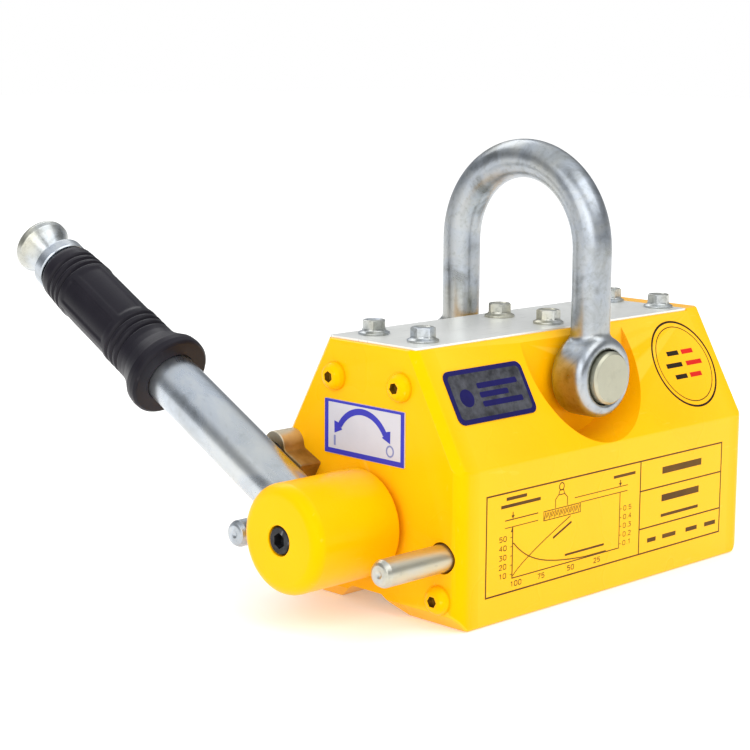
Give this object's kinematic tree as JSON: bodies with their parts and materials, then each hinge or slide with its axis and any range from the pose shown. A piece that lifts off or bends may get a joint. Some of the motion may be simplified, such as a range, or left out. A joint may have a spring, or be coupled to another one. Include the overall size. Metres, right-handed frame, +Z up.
{
  "type": "permanent lifting magnet",
  "caption": "Permanent lifting magnet: steel body with sloped sides, turning lever with safety push button, limit pins and a swinging lifting shackle.",
  "frame": {"origin": "centre of the bottom working face of the magnet, on the plane of the two pole feet", "axes": "+X along the body away from the lever end, +Y towards the far long side (the load chart faces -Y), +Z up"},
  "size_m": [0.2162, 0.2209, 0.1686],
  "materials": {
    "yellow_paint": "gloss enamel over machined steel",
    "zinc_plate": "bright bluish zinc plating, slightly mottled",
    "satin_plate": "satin sheet metal",
    "turned_steel": "turned, bare",
    "passivated_steel": "yellow-brown passivated, worn bright on the lobe",
    "black_oxide": "black oxide, satin",
    "grip_rubber": "moulded, matt",
    "magnet": "nickel plated magnet",
    "bronze": "machined",
    "stainless": "milled",
    "label_white": "printed film, white with blue border",
    "label_dark": "printed plate, dark with navy border"
  },
  "bodies": {
    "housing": {"pole_block_near": "yellow_paint", "pole_block_far": "yellow_paint", "top_plate": "satin_plate", "end_cover_front": "yellow_paint", "end_cover_rear": "yellow_paint", "top_plate_bolt_front_near": "zinc_plate", "top_plate_bolt_front_far": "zinc_plate", "top_plate_bolt_middle_near": "zinc_plate", "top_plate_bolt_middle_far": "zinc_plate", "top_plate_bolt_rear_near": "zinc_plate", "top_plate_bolt_rear_far": "zinc_plate", "front_cover_screw_upper_near": "yellow_paint", "front_cover_screw_upper_far": "yellow_paint", "front_cover_screw_lower_near": "yellow_paint", "front_cover_screw_lower_far": "yellow_paint", "rear_cover_screw_upper_near": "yellow_paint", "rear_cover_screw_upper_far": "yellow_paint", "rear_cover_screw_lower_near": "yellow_paint", "rear_cover_screw_lower_far": "yellow_paint", "limit_pin_on": "zinc_plate", "limit_pin_off": "zinc_plate", "safety_catch_block": "passivated_steel", "catch_block_screw": "black_oxide", "bearing_bush_front": "bronze", "bearing_bush_rear": "bronze", "bottom_spacer": "stainless", "top_spacer": "stainless", "centre_spacer": "stainless", "fixed_magnet_front": "magnet", "fixed_magnet_rear": "magnet", "shackle_pin": "turned_steel", "lever_label": "label_white", "grade_label": "label_dark"},
    "lever": {"rotor_pole_a": "turned_steel", "rotor_pole_b": "turned_steel", "rotor_magnet": "magnet", "rotor_strip_upper": "bronze", "rotor_strip_lower": "bronze", "front_trunnion": "turned_steel", "rear_trunnion": "turned_steel", "rotor_screw_front_a": "black_oxide", "rotor_screw_front_b": "black_oxide", "rotor_screw_rear_a": "black_oxide", "rotor_screw_rear_b": "black_oxide", "hub": "yellow_paint", "hub_key": "turned_steel", "hub_screw": "black_oxide", "lever_tube": "zinc_plate", "hand_grip": "grip_rubber", "lever_end_plug": "zinc_plate", "rod_guide_bush": "bronze", "return_spring": "turned_steel"},
    "button": {"push_button": "zinc_plate", "push_rod": "turned_steel", "slide_key": "turned_steel"},
    "shackle": {"shackle_bow": "zinc_plate"}
  },
  "joints": [
    {"name": "lever_turn", "type": "hinge", "parent": "housing", "child": "lever", "pos_m": [-0.1072, 0, 0.033], "axis": [1, 0, 0], "range_deg": [-14, 138.2]},
    {"name": "button_press", "type": "slide", "parent": "lever", "child": "button", "axis": [0, -0.8838, -0.4679], "range_m": [0, 0.005], "stiffness_N_per_m": 600, "springref_m": -0.008, "deforming": ["return_spring"]},
    {"name": "shackle_swing", "type": "hinge", "parent": "housing", "child": "shackle", "pos_m": [0, 0, 0.0812], "axis": [0, 1, 0], "range_deg": [-60, 60]}
  ]
}
